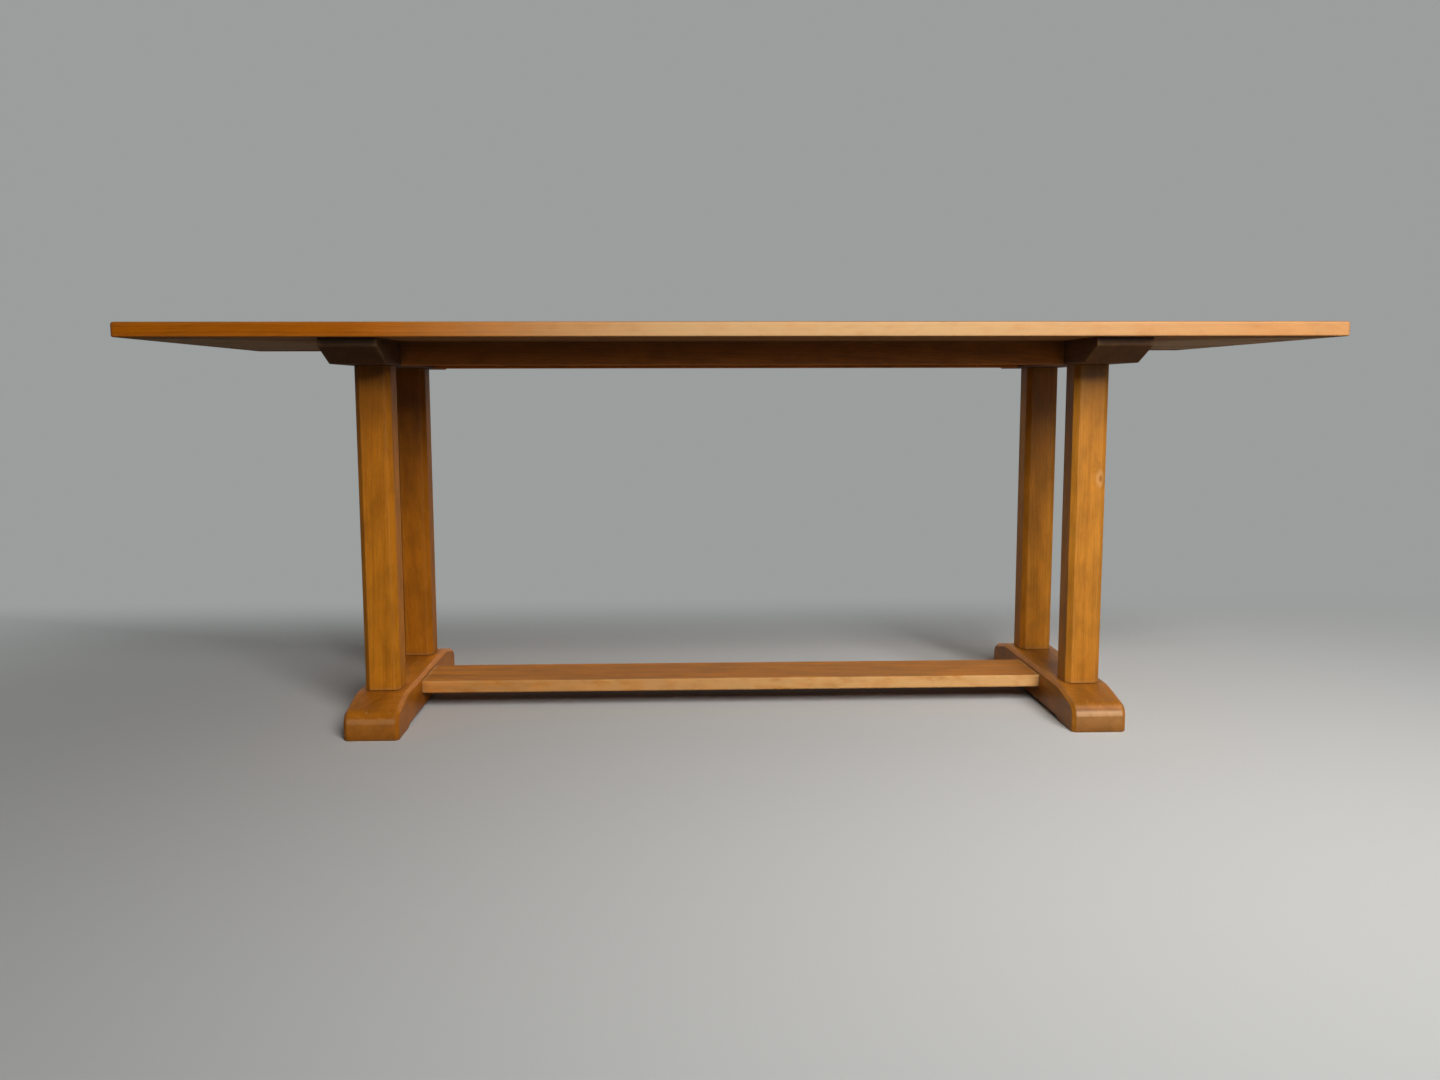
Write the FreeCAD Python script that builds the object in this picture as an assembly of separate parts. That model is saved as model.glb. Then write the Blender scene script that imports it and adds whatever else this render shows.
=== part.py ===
import FreeCAD, Part
import math
import os
from FreeCAD import Vector

# Trestle dining table in oak, in millimetres, +Z up, standing on Z = 0 with the origin under its middle.
# +X runs along the top and -Y faces the sitter at the front.

# Boarded top
table_height = 760.0
top_length = 2146.0
top_width = 760.0
top_thickness = 26.0
top_corner_radius = 8.0
top_upper_ease = 4.0
top_lower_ease = 3.0
board_count = 5
tongue_thickness = 8.0
tongue_width = 24.0
tongue_end_stop = 60.0

# Trestle ends
end_overhang = 393.0
post_spacing = 320.0
post_size = 67.0
post_chamfer = 10.0
post_tenon_thickness = 28.0
post_tenon_width = 46.0

# Bearers under the top
bearer_length = 720.0
bearer_width = 102.0
bearer_height = 44.0
bearer_lip = 15.0
bearer_slope_run = 70.0
bearer_chamfer = 2.5
bearer_mortise_cover = 12.0

# Sled feet
foot_length = 588.0
foot_width = 102.0
foot_height = 71.0
foot_shoulder = 3.0
toe_height = 51.0
toe_radius = 26.0
foot_chamfer = 8.0
sole_pad_length = 88.0
sole_relief = 6.0
sole_relief_run = 14.0
foot_mortise_cover = 16.0

# Stretcher between the feet
stretcher_width = 148.0
stretcher_thickness = 26.0
stretcher_drop = 10.0
stretcher_ease = 4.0
stretcher_tenon_thickness = 12.0
stretcher_tenon_width = 42.0
stretcher_tenon_gap = 24.0
stretcher_tenon_length = 40.0

# Long rails between the bearers
rail_thickness = 28.0
rail_ease = 3.0
rail_tenon_thickness = 12.0
rail_tenon_shoulder = 10.0
rail_mortise_cover = 8.0

# Buttons that hold the top down to the rails
buttons_per_rail = 3
button_length = 40.0
button_body = 34.0
button_thickness = 18.0
button_chamfer = 5.0
button_tongue_length = 11.0
button_groove_depth = 13.0
button_groove_drop = 10.0
button_groove_slack = 1.0
button_movement_gap = 3.0

# Wood screws
screw_shank = 5.0
screw_head = 10.0
screw_crown = 6.0
screw_head_height = 3.0
screw_bite = 16.0
screw_point = 5.0
screw_tip = 1.0
screw_sides = 12
screw_pocket = 16.0
screw_pocket_depth = 14.0
screw_slot_travel = 8.0
bearer_screw_from_post = 52.0

# Fits
glue_gap = 0.15
mortise_floor_gap = 2.0
screw_gap = 0.15
pilot_end_gap = 1.0

# Levels and places that follow from the sizes above
trestle_spacing = top_length - 2 * end_overhang
top_underside = table_height - top_thickness
bearer_underside = top_underside - bearer_height
stretcher_top = foot_height - stretcher_drop
bearer_face = trestle_spacing / 2 - bearer_width / 2
foot_face = trestle_spacing / 2 - foot_width / 2
post_outer = post_spacing / 2 + post_size / 2
bearer_mortise_depth = bearer_height - bearer_mortise_cover
foot_mortise_depth = foot_height - sole_relief - foot_mortise_cover
rail_mortise_depth = (bearer_width - post_tenon_thickness) / 2 - rail_mortise_cover
rail_tenon_height = bearer_height - 2 * rail_tenon_shoulder
rail_inner = post_spacing / 2 - rail_thickness / 2
button_pitch = 2 * bearer_face / buttons_per_rail
groove_roof = top_underside - button_groove_drop
button_tongue_thickness = button_thickness - button_groove_drop
touch = 0.001

ends = {"left": -1, "right": 1}
sides = {"front": -1, "rear": 1}


# A box given by its middle in X and Y, its lower face and its three sizes
def block(x, y, z, size_x, size_y, size_z):
    return Part.makeBox(size_x, size_y, size_z, Vector(x - size_x / 2, y - size_y / 2, z))


# A closed outline through corners (a, b, radius), with a tangent arc wherever the radius is not zero
def rounded_wire(corners, to_point):
    bends = []
    for i, (a, b, radius) in enumerate(corners):
        here = Vector(a, b, 0)
        back = (Vector(*corners[i - 1][:2], 0) - here).normalize()
        ahead = (Vector(*corners[(i + 1) % len(corners)][:2], 0) - here).normalize()
        half_angle = back.getAngle(ahead) / 2
        reach = radius / math.tan(half_angle)
        depth = radius / math.sin(half_angle) - radius
        crown = here + (back + ahead).normalize() * depth
        bends.append((radius, here + back * reach, crown, here + ahead * reach))
    edges = []
    for i, (radius, start, crown, finish) in enumerate(bends):
        if radius > 0:
            edges.append(Part.Arc(to_point(start), to_point(crown), to_point(finish)).toShape())
        following = bends[(i + 1) % len(bends)][1]
        edges.append(Part.LineSegment(to_point(finish), to_point(following)).toShape())
    return Part.Wire(edges)


# An outline in the Y-Z plane, drawn out along X and centred on x
def draw_out(corners, x, width):
    wire = rounded_wire(corners, lambda p: Vector(x - width / 2, p.x, p.y))
    return Part.Face(wire).extrude(Vector(width, 0, 0))


# The other half of an outline that is the same on both sides of Y = 0
def mirrored(corners):
    return corners + [(-y, z, radius) for y, z, radius in reversed(corners)]


# The edges of a drawn-out piece that lie on its two flat sides, above a level and below another
def side_edges(shape, above, below):
    found = []
    for edge in shape.Edges:
        box = edge.BoundBox
        if box.XLength < touch and box.ZMax > above + touch and box.ZMin < below - touch:
            found.append(edge)
    return found


# A many-sided ring about the Z axis, for pieces too small to need a true round
def ring(diameter, level):
    turns = [2 * math.pi * i / screw_sides for i in range(screw_sides + 1)]
    return Part.makePolygon([Vector(diameter / 2 * math.cos(t), diameter / 2 * math.sin(t), level) for t in turns])


# A raised-head wood screw, point up, with its head seated under the level z
def wood_screw(x, y, z, length):
    head = Part.makeLoft([ring(screw_crown, -screw_head_height), ring(screw_head, 0)], True, True)
    tip = length - screw_point
    shaft = [ring(screw_shank, 0), ring(screw_shank, tip), ring(screw_tip, length)]
    solid = head.fuse(Part.makeLoft(shaft, True, True)).removeSplitter()
    solid.translate(Vector(x, y, z))
    return solid


# The hole that a screw's bite needs in the top
def pilot_hole(x, y):
    radius = screw_shank / 2 + screw_gap
    return Part.makeCylinder(radius, screw_bite + pilot_end_gap, Vector(x, y, top_underside))


# Places of the screws through the bearers, with the slot each one gets: the middle one is fixed
def bearer_screw_places():
    outer = post_outer + bearer_screw_from_post
    for end in ends.values():
        for y, travel in ((-outer, screw_slot_travel), (0, 0), (outer, screw_slot_travel)):
            yield end, end * trestle_spacing / 2, y, travel


# Places of the buttons along a rail, counted from the left
def button_places():
    middle = (buttons_per_rail - 1) / 2
    return [(i + 1, (i - middle) * button_pitch) for i in range(buttons_per_rail)]


# Where a button's screw goes up, in Y
def button_screw_y(side):
    return side * (rail_inner - button_movement_gap - button_body / 2)


# The whole top before it is sawn into boards: rounded plan corners and softened arrises
def top_slab():
    x = top_length / 2
    y = top_width / 2
    corners = [(a, b, top_corner_radius) for a, b in ((-x, -y), (x, -y), (x, y), (-x, y))]
    wire = rounded_wire(corners, lambda p: Vector(p.x, p.y, top_underside))
    slab = Part.Face(wire).extrude(Vector(0, 0, top_thickness))
    upper = [e for e in slab.Edges if e.BoundBox.ZMin > table_height - touch]
    slab = slab.makeFillet(top_upper_ease, upper)
    lower = [e for e in slab.Edges if e.BoundBox.ZMax < top_underside + touch]
    return slab.makeFillet(top_lower_ease, lower)


# Edge-jointed boards with stopped grooves, and the loose tongues in those grooves
def top_pieces():
    board_width = top_width / board_count
    joints = [-top_width / 2 + i * board_width for i in range(1, board_count)]
    tongue_length = top_length - 2 * tongue_end_stop
    tongue_level = top_underside + (top_thickness - tongue_thickness) / 2
    pilots = [pilot_hole(x, y) for end, x, y, travel in bearer_screw_places()]
    pilots += [pilot_hole(x, button_screw_y(side)) for side in sides.values() for n, x in button_places()]
    grooves = []
    pieces = {}
    for n, y in enumerate(joints, 1):
        tongue = block(0, y, tongue_level, tongue_length, tongue_width, tongue_thickness)
        pieces["top_tongue_%d" % n] = tongue.cut(pilots)
        room = tongue_width + 2 * mortise_floor_gap
        length = tongue_length + 2 * mortise_floor_gap
        height = tongue_thickness + 2 * glue_gap
        grooves.append(block(0, y, tongue_level - glue_gap, length, room, height))
    slab = top_slab()
    for i in range(board_count):
        y = -top_width / 2 + (i + 0.5) * board_width
        strip = block(0, y, top_underside, top_length, board_width, top_thickness)
        pieces["top_board_%d" % (i + 1)] = slab.common(strip).cut(grooves + pilots)
    return pieces


# A square post with chamfered corners and a tenon at each end
def post(end, side):
    x = end * trestle_spacing / 2
    y = side * post_spacing / 2
    half = post_size / 2
    flat = half - post_chamfer
    ring = [(half, -flat), (half, flat), (flat, half), (-flat, half)]
    ring += [(-a, -b) for a, b in ring]
    points = [Vector(x + a, y + b, foot_height) for a, b in ring]
    clear_height = bearer_underside - foot_height
    shaft = Part.Face(Part.makePolygon(points + points[:1])).extrude(Vector(0, 0, clear_height))
    lower = foot_mortise_depth - mortise_floor_gap
    upper = bearer_mortise_depth - mortise_floor_gap
    length = lower + clear_height + upper
    tenons = block(x, y, foot_height - lower, post_tenon_thickness, post_tenon_width, length)
    return shaft.fuse(tenons).removeSplitter()


# The room for a post's tenon in a bearer or a foot, from the level z up
def post_mortise(end, side, z, depth):
    thickness = post_tenon_thickness + 2 * glue_gap
    width = post_tenon_width + 2 * glue_gap
    return block(end * trestle_spacing / 2, side * post_spacing / 2, z, thickness, width, depth)


# A rail's tenon as it enters a bearer, or with a gap all round the mortise for it
def rail_tenon(end, side, length, gap):
    z = bearer_underside + rail_tenon_shoulder - gap
    x = end * (bearer_face + length / 2)
    height = rail_tenon_height + 2 * gap
    return block(x, side * post_spacing / 2, z, length, rail_tenon_thickness + 2 * gap, height)


# A bearer: upright lip and straight slope at each end, mortised for posts and rails, bored for screws
def bearer(end):
    reach = bearer_length / 2
    lip_level = top_underside - bearer_lip
    half = [(-reach, top_underside, 0), (-reach, lip_level, 0)]
    half.append((bearer_slope_run - reach, bearer_underside, 0))
    body = draw_out(mirrored(half), end * trestle_spacing / 2, bearer_width)
    body = body.makeChamfer(bearer_chamfer, side_edges(body, 0, top_underside))
    cuts = []
    for side in sides.values():
        cuts.append(post_mortise(end, side, bearer_underside, bearer_mortise_depth))
        cuts.append(rail_tenon(end, side, rail_mortise_depth, glue_gap))
    for screw_end, x, y, travel in bearer_screw_places():
        if screw_end == end:
            cuts.append(slot(x, y, bearer_underside, screw_pocket, travel, screw_pocket_depth))
            cuts.append(slot(x, y, bearer_underside, screw_shank + 2 * screw_gap, travel, bearer_height))
    return body.cut(cuts)


# An upright hole, lengthened along Y by the travel it allows
def slot(x, y, z, diameter, travel, height):
    rounds = [Part.makeCylinder(diameter / 2, height, Vector(x, y + s * travel / 2, z)) for s in (-1, 1)]
    if travel == 0:
        return rounds[0]
    return rounds[0].fuse([rounds[1], block(x, y, z, diameter, travel, height)]).removeSplitter()


# The twin tenons at one end of the stretcher, or with a gap all round the mortises for them
def stretcher_tenons(end, length, gap):
    z = stretcher_top - (stretcher_thickness + stretcher_tenon_thickness) / 2 - gap
    offset = (stretcher_tenon_gap + stretcher_tenon_width) / 2
    width = stretcher_tenon_width + 2 * gap
    height = stretcher_tenon_thickness + 2 * gap
    x = end * (foot_face + length / 2)
    return [block(x, side * offset, z, length, width, height) for side in sides.values()]


# A sled foot: flat where the posts stand, sloped to a rounded toe at each end, relieved under its middle
def foot(end):
    reach = foot_length / 2
    pad_end = sole_pad_length - reach
    half = [(-post_outer - foot_shoulder, foot_height, 0)]
    half.append((-reach, toe_height, toe_radius))
    half.append((-reach, 0, 0))
    half.append((pad_end, 0, 0))
    half.append((pad_end + sole_relief_run, sole_relief, 0))
    body = draw_out(mirrored(half), end * trestle_spacing / 2, foot_width)
    body = body.makeChamfer(foot_chamfer, side_edges(body, sole_relief, table_height))
    cuts = stretcher_tenons(end, stretcher_tenon_length + mortise_floor_gap, glue_gap)
    for side in sides.values():
        cuts.append(post_mortise(end, side, foot_height - foot_mortise_depth, foot_mortise_depth))
    return body.cut(cuts)


# The stretcher: a flat board with softened edges and twin tenons into the feet
def stretcher():
    half_width = stretcher_width / 2
    underside = stretcher_top - stretcher_thickness
    half = [(-half_width, stretcher_top, stretcher_ease), (-half_width, underside, stretcher_ease)]
    body = draw_out(mirrored(half), 0, 2 * foot_face)
    tenons = []
    for end in ends.values():
        tenons += stretcher_tenons(end, stretcher_tenon_length, 0)
    return body.fuse(tenons).removeSplitter()


# A long rail, tenoned into both bearers, with a short mortise in its inner face for each button
def rail(side):
    y = side * post_spacing / 2
    inside = y - side * rail_thickness / 2
    outside = y + side * rail_thickness / 2
    corners = [(inside, top_underside, 0), (inside, bearer_underside, rail_ease)]
    corners += [(outside, bearer_underside, rail_ease), (outside, top_underside, 0)]
    body = draw_out(corners, 0, 2 * bearer_face)
    tenons = [rail_tenon(end, side, rail_mortise_depth - mortise_floor_gap, 0) for end in ends.values()]
    grooves = []
    for n, x in button_places():
        height = button_tongue_thickness + button_groove_slack
        length = button_length + 2 * button_groove_slack
        groove_y = inside + side * button_groove_depth / 2
        grooves.append(block(x, groove_y, groove_roof - height, length, button_groove_depth, height))
    return body.fuse(tenons).removeSplitter().cut(grooves)


# A wooden button: its tongue hooks under the roof of the rail's mortise and its back lies against the top
def button(x, side):
    shoulder = rail_inner - button_movement_gap
    back = shoulder - button_body
    tip = shoulder + button_tongue_length
    floor = top_underside - button_thickness
    outline = [(back, top_underside), (back, floor + button_chamfer), (back + button_chamfer, floor)]
    outline += [(tip, floor), (tip, groove_roof), (shoulder, groove_roof), (shoulder, top_underside)]
    body = draw_out([(side * y, z, 0) for y, z in outline], x, button_length)
    return body.cut(slot(x, button_screw_y(side), floor, screw_shank + 2 * screw_gap, 0, button_thickness))


# All screws through the bearers, heads seated in their pockets
def bearer_screws():
    seat = bearer_underside + screw_pocket_depth
    length = top_underside - seat + screw_bite
    return [wood_screw(x, y, seat, length) for end, x, y, travel in bearer_screw_places()]


# All screws through the buttons
def button_screws():
    seat = top_underside - button_thickness
    length = button_thickness + screw_bite
    places = [(x, button_screw_y(side)) for side in sides.values() for n, x in button_places()]
    return [wood_screw(x, y, seat, length) for x, y in places]


# Every piece of the table under its own name
def table_pieces():
    pieces = top_pieces()
    for end_name, end in ends.items():
        pieces[end_name + "_bearer"] = bearer(end)
        pieces[end_name + "_foot"] = foot(end)
        for side_name, side in sides.items():
            pieces[end_name + "_" + side_name + "_post"] = post(end, side)
    pieces["stretcher"] = stretcher()
    for side_name, side in sides.items():
        pieces[side_name + "_rail"] = rail(side)
        for n, x in button_places():
            pieces["%s_button_%d" % (side_name, n)] = button(x, side)
    pieces["bearer_screws"] = Part.makeCompound(bearer_screws())
    pieces["button_screws"] = Part.makeCompound(button_screws())
    return pieces


os.makedirs("parts", exist_ok=True)
for node, shape in table_pieces().items():
    shape.exportStep("parts/" + node + ".step")
    print(node, len(shape.Solids), "solid", "%.1f cm3" % (shape.Volume / 1000), "valid", shape.isValid())
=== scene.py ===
import math

import bmesh
import bpy
from mathutils import Matrix, Vector

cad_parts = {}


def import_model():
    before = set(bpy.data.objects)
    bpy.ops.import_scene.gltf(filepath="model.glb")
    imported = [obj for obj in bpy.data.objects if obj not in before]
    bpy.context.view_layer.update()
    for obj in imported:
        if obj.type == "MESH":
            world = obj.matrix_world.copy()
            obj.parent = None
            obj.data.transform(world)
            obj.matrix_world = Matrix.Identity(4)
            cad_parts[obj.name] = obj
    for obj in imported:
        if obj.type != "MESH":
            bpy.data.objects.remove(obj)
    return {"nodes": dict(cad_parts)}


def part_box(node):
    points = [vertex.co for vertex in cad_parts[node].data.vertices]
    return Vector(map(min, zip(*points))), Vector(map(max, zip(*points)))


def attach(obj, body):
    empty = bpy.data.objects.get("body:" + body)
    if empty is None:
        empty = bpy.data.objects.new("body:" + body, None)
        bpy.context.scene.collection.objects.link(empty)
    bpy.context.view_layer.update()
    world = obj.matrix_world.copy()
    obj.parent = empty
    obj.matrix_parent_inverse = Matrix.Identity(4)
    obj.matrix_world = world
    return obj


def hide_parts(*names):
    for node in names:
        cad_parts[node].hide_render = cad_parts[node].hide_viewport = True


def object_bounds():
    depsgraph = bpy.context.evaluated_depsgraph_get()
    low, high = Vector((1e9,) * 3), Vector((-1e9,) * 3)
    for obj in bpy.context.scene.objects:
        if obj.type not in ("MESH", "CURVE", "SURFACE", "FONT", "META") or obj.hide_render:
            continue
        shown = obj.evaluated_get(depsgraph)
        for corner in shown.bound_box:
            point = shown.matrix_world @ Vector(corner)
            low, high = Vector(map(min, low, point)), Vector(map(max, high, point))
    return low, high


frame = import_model()
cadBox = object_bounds()
scene = bpy.context.scene
nodes = frame["nodes"]
ends = ("left", "right")
sides = {"front": -1, "rear": 1}
print("frame loaded:", len(nodes), "nodes")


# Working in edit mode

smoothAngle = math.radians(40)    # faces that meet more gently are shaded as one
alongLimit = 0.9                  # a unit way with this much along an axis runs along it
hair = 0.0001                     # a distance too small to matter


def startBlock(name, low, high):
    low = Vector(low)
    high = Vector(high)
    bpy.ops.object.select_all(action="DESELECT")
    bpy.ops.mesh.primitive_cube_add(size=1, location=(low + high) / 2, scale=high - low)
    piece = bpy.context.active_object
    piece.name = name
    piece.data.name = name
    bpy.ops.object.transform_apply(location=True, rotation=True, scale=True)
    bpy.ops.object.mode_set(mode="EDIT")
    return piece


def pick(piece, kind, wanted):    # selects the verts, edges or faces that pass the test, and counts them
    bpy.ops.mesh.select_mode(type=kind)
    bpy.ops.mesh.select_all(action="DESELECT")
    mesh = bmesh.from_edit_mesh(piece.data)
    found = {"VERT": mesh.verts, "EDGE": mesh.edges, "FACE": mesh.faces}[kind]
    chosen = [element for element in found if wanted(element)]
    for element in chosen:
        element.select_set(True)
    mesh.select_flush_mode()
    bmesh.update_edit_mesh(piece.data)
    return len(chosen)


def cutAcross(axis, place):    # a new line of edges all round the piece, square to an axis
    normal = Vector((0, 0, 0))
    normal["xyz".index(axis)] = 1
    bpy.ops.mesh.select_all(action="SELECT")
    bpy.ops.mesh.bisect(plane_co=normal * place, plane_no=normal)


def moveVerts(piece, wanted, shift):
    pick(piece, "VERT", wanted)
    bpy.ops.transform.translate(value=shift)


def roundOver(piece, wanted, width, segments):
    if pick(piece, "EDGE", wanted):
        bpy.ops.mesh.bevel(offset=width, offset_type="OFFSET", segments=segments, profile=0.5, affect="EDGES")


def middle(edge):
    return (edge.verts[0].co + edge.verts[1].co) / 2


def runsAlong(edge, axis):
    way = (edge.verts[1].co - edge.verts[0].co).normalized()
    return abs(way["xyz".index(axis)]) > alongLimit


def isSharp(edge, least=math.radians(20)):
    return len(edge.link_faces) == 2 and edge.calc_face_angle(0) > least


def near(a, b, slack=2 * hair):
    return abs(a - b) < slack


def finishPiece(piece, node, material):
    bpy.ops.object.mode_set(mode="OBJECT")
    bpy.ops.object.shade_smooth_by_angle(angle=smoothAngle)
    bpy.ops.object.modifier_add(type="WEIGHTED_NORMAL")
    piece.modifiers[-1].keep_sharp = True
    bpy.ops.object.modifier_apply(modifier=piece.modifiers[-1].name)
    piece.data.materials.clear()
    piece.data.materials.append(material)
    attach(piece, "root")
    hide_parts(node)


# Oak

frameOak = {
    "pale": (0.60, 0.208, 0.012),       # linear colours
    "honey": (0.48, 0.150, 0.007),
    "ring": (0.34, 0.092, 0.005),
    "late": (0.42, 0.124, 0.006),
    "ray": (0.62, 0.250, 0.024),
    "pore": (0.13, 0.038, 0.004),
    "wornAndSheen": (0.70, 0.360, 0.110),
    # the colour of the painted shade in corners and between parts
    "cornerShadeTone": (0.050, 0.020, 0.006),
    "streaks": (0.90, 1.08),
    "blotches": (0.82, 1.11),
    "ringSpacing": 0.0034,
    "ringWander": 0.012,
    "ringDepth": 0.36,
    "lateDepth": 0.38,
    "rayDepth": 0.30,
    "poreDepth": 0.50,
    "endDark": 0.62,
    "arris": 0.009,                     # how far the wear reaches in from an arris
    "wear": 0.35,
    "wearPatch": 0.35,                  # how much of the wear is left where there is least
    "corner": 0.030,                    # how far the painted shade reaches out of a corner
    "cornerShadeDepth": 0.55,
    "scuff": 0.0,
    "rubbed": 0.0,                      # share of wear and painted sheen on the faces that look the given way
    "rubbedAndSheenWay": (0.0, -1.0, 0.0),
    "rubbedAndSheenSpan": (-9.0, -8.0),         # where along X the wear and painted sheen set in
    "rubbedFade": (0.2, 1.05),          # where it fades again
    "rubbedAndSheenEnd": 1.0,                   # how much of it is left at the right-hand end
    "rubbedAndSheenRange": (0.3, 0.9),          # how squarely a face has to look that way
    "rubbedAndSheenPatch": 0.3,                 # how much wear and painted sheen is left where there is least
    "dustAndShade": 0.0,                        # share of settled dust, soil from shoes and painted shade on level faces
    "dustAndShadePatch": 0.55,
    "dustAndShadeTone": (0.140, 0.076, 0.030),
    "paintedShadeSpan": (0.0, 0.0),           # heights between which painted shade darkens the colour
    "paintedShade": 1.0,
    "rimBandReach": 0.0,                      # how far a darker band reaches in under the long edges of the top
    "rimBandTone": (0.45, 0.285, 0.105),    # what the band leaves of the bare oak's colour
    "lean": 0.035,                      # how far the heart strays from the grain line, per metre
    "roughness": 0.42,
    "specular": 0.2,
    "bump": 0.22,
    "bumpHeight": 0.0004,
}
topOak = dict(frameOak, pale=(0.60, 0.245, 0.040), honey=(0.48, 0.178, 0.024), ring=(0.32, 0.104, 0.013),
              late=(0.42, 0.146, 0.018), ray=(0.62, 0.285, 0.065), pore=(0.13, 0.042, 0.008),
              streaks=(0.88, 1.08), blotches=(0.93, 1.05), ringSpacing=0.0042, ringDepth=0.52, lateDepth=0.45,
              wear=0.0, roughness=0.44, specular=0.24)
# painted sheen: the front edge turns pale from the middle to the right-hand end, where the light catches it
edgeOak = dict(topOak, pale=(0.645, 0.178, 0.002), honey=(0.515, 0.131, 0.001), ring=(0.355, 0.084, 0.001),
               late=(0.430, 0.105, 0.001), ray=(0.61, 0.200, 0.006), pore=(0.13, 0.038, 0.002),
               wornAndSheen=(0.76, 0.495, 0.235), wear=0.05, rubbed=0.78, rubbedAndSheenSpan=(-0.72, -0.02), rubbedAndSheenEnd=0.57,
               rubbedAndSheenPatch=0.7, roughness=0.32, specular=0.12)
# painted shade: the posts darken towards their tops, in the shadow of the top
postOak = dict(frameOak, paintedShadeSpan=(0.44, 0.67), paintedShade=0.74, specular=0.08)
# painted highlight: a pale band where the toe's rounding looks forward and a little up, stronger on the right
# foot
footOak = dict(frameOak, wornAndSheen=(0.76, 0.430, 0.200), blotches=(0.84, 1.10), wear=0.14, scuff=0.30, dustAndShade=0.20,
               rubbedAndSheenWay=(0.0, -0.97, 0.243), rubbedAndSheenRange=(0.955, 0.997), rubbedAndSheenPatch=0.6, roughness=0.32)
stretcherOak = dict(frameOak, wornAndSheen=(0.78, 0.450, 0.180), wear=0.75, scuff=0.35, rubbed=0.85,
                    rubbedAndSheenSpan=(-1.6, 0.6), dustAndShade=0.64, roughness=0.55, specular=0.06)
# painted shade: the rails darken towards their tops, under the top, and stay lighter below
railOak = dict(frameOak, pale=(0.600, 0.196, 0.024), honey=(0.470, 0.140, 0.016), ring=(0.27, 0.080, 0.011),
               late=(0.36, 0.108, 0.014), ray=(0.62, 0.220, 0.040), pore=(0.100, 0.031, 0.007),
               wornAndSheen=(0.55, 0.280, 0.130), paintedShadeSpan=(0.690, 0.720), paintedShade=0.60, roughness=0.60,
               specular=0.06)
# painted shade: the bearers are coloured much darker than the other oak, with darker ends, for the shade they
# sit in under the top
bearerOak = dict(railOak, pale=(0.190, 0.086, 0.033), honey=(0.135, 0.060, 0.022), ring=(0.080, 0.036, 0.014),
                 late=(0.105, 0.047, 0.018), ray=(0.22, 0.108, 0.046), pore=(0.032, 0.015, 0.008),
                 wornAndSheen=(0.28, 0.150, 0.075), endDark=0.28, paintedShade=1.0)
rawOak = dict(frameOak, pale=(0.68, 0.450, 0.262), honey=(0.54, 0.335, 0.188), ring=(0.36, 0.208, 0.112),
              late=(0.46, 0.275, 0.150), ray=(0.72, 0.490, 0.300), pore=(0.13, 0.074, 0.040),
              wornAndSheen=(0.50, 0.320, 0.190), blotches=(0.92, 1.06), ringDepth=0.48, wear=0.15, roughness=0.80,
              specular=0.12)
underOak = dict(rawOak, rimBandReach=0.30)

oakGrain = {
    "turn": {"x": (0, 0, 0), "y": (0, 0, -math.pi / 2), "z": (0, math.pi / 2, 0)},
    "seedStep": 3.7,                    # every piece shows another stretch of the pattern
    "leanTurns": (1.7, 2.3),            # and leans another way
    "growth": 48.0,                     # how often good and lean years take turns, per metre
    "growthSwing": 2.4,                 # and by how many rings they shift the pattern
    "earlyWood": 0.42,                  # the open pores end at this share of a year
    "lateWood": 0.55,                   # and the dense wood begins at this one
    "pores": (120.0, 2300.0, 2300.0),
    "poreRings": (0.85, 0.10),          # most pores stand in the early wood
    "roughening": {"pore": 0.25, "wornAndSheen": 0.18, "fibre": 0.10},
    "fibreHeight": 0.35,
    "cornerSamples": 6,
}
oakSpots = {    # noise: scale along and twice across the grain, detail, roughness
    "wander": ((2.1, 8.0, 8.0), 3.0, 0.5),
    "drift": ((1.1, 6.0, 6.0), 3.0, 0.5),
    "blotch": ((15.0, 38.0, 38.0), 4.0, 0.55),
    "fibre": ((13.0, 620.0, 620.0), 3.0, 0.6),
    "patch": ((26.0, 60.0, 60.0), 4.0, 0.6),
    "knock": ((48.0, 150.0, 150.0), 3.0, 0.65),
    "film": ((4.0, 46.0, 46.0), 4.0, 0.6),
    "ray": ((24.0, 42.0, 95.0), 1.0, 0.5),    # along the grain, outwards and round the heart
}
oakSteps = {    # levels between which a mark sets in or fades out
    "drift": (0.30, 0.70),
    "blotch": (0.30, 0.66),
    "streak": (0.25, 0.75),
    "pore": (0.16, 0.40),
    "ray": (0.60, 0.70),
    "cutEnd": (0.70, 0.95),
    "arris": (0.60, 0.97),
    "wornAndSheen": (0.25, 0.60),
    "rubbed": (0.15, 0.60),
    "knock": (0.60, 0.72),
    "level": (0.6, 0.98),
    "film": (0.25, 0.65),
    "corner": (0.30, 0.85),
}
rimBandLook = {
    "fray": 0.06,                       # how far its edge wanders
    "overhang": (0.70, 1.0),            # along X, from the bearers outwards
    "overhangReach": 0.35,              # it reaches in less far there
    "fade": (0.5, 1.2),
    "depth": 0.92,
}
knotLook = {
    "across": 0.007,
    "along": 0.013,
    "push": 0.010,                      # how far the rings part round it
    "pushReach": 3.5,                   # in radii of the knot, as are rimIn, rimOut and heartEdge
    "rimIn": (0.10, 0.80),
    "rimOut": (0.80, 1.70),
    "rimDepth": 0.42,
    "heartEdge": (0.10, 0.75),
    "heartDepth": 0.50,
    "heart": (0.16, 0.050, 0.006),
    "rim": (0.68, 0.33, 0.080),
}


def newTree(name):
    material = bpy.data.materials.new(name)
    material.use_nodes = True
    tree = material.node_tree
    tree.nodes.clear()
    return material, tree


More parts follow.
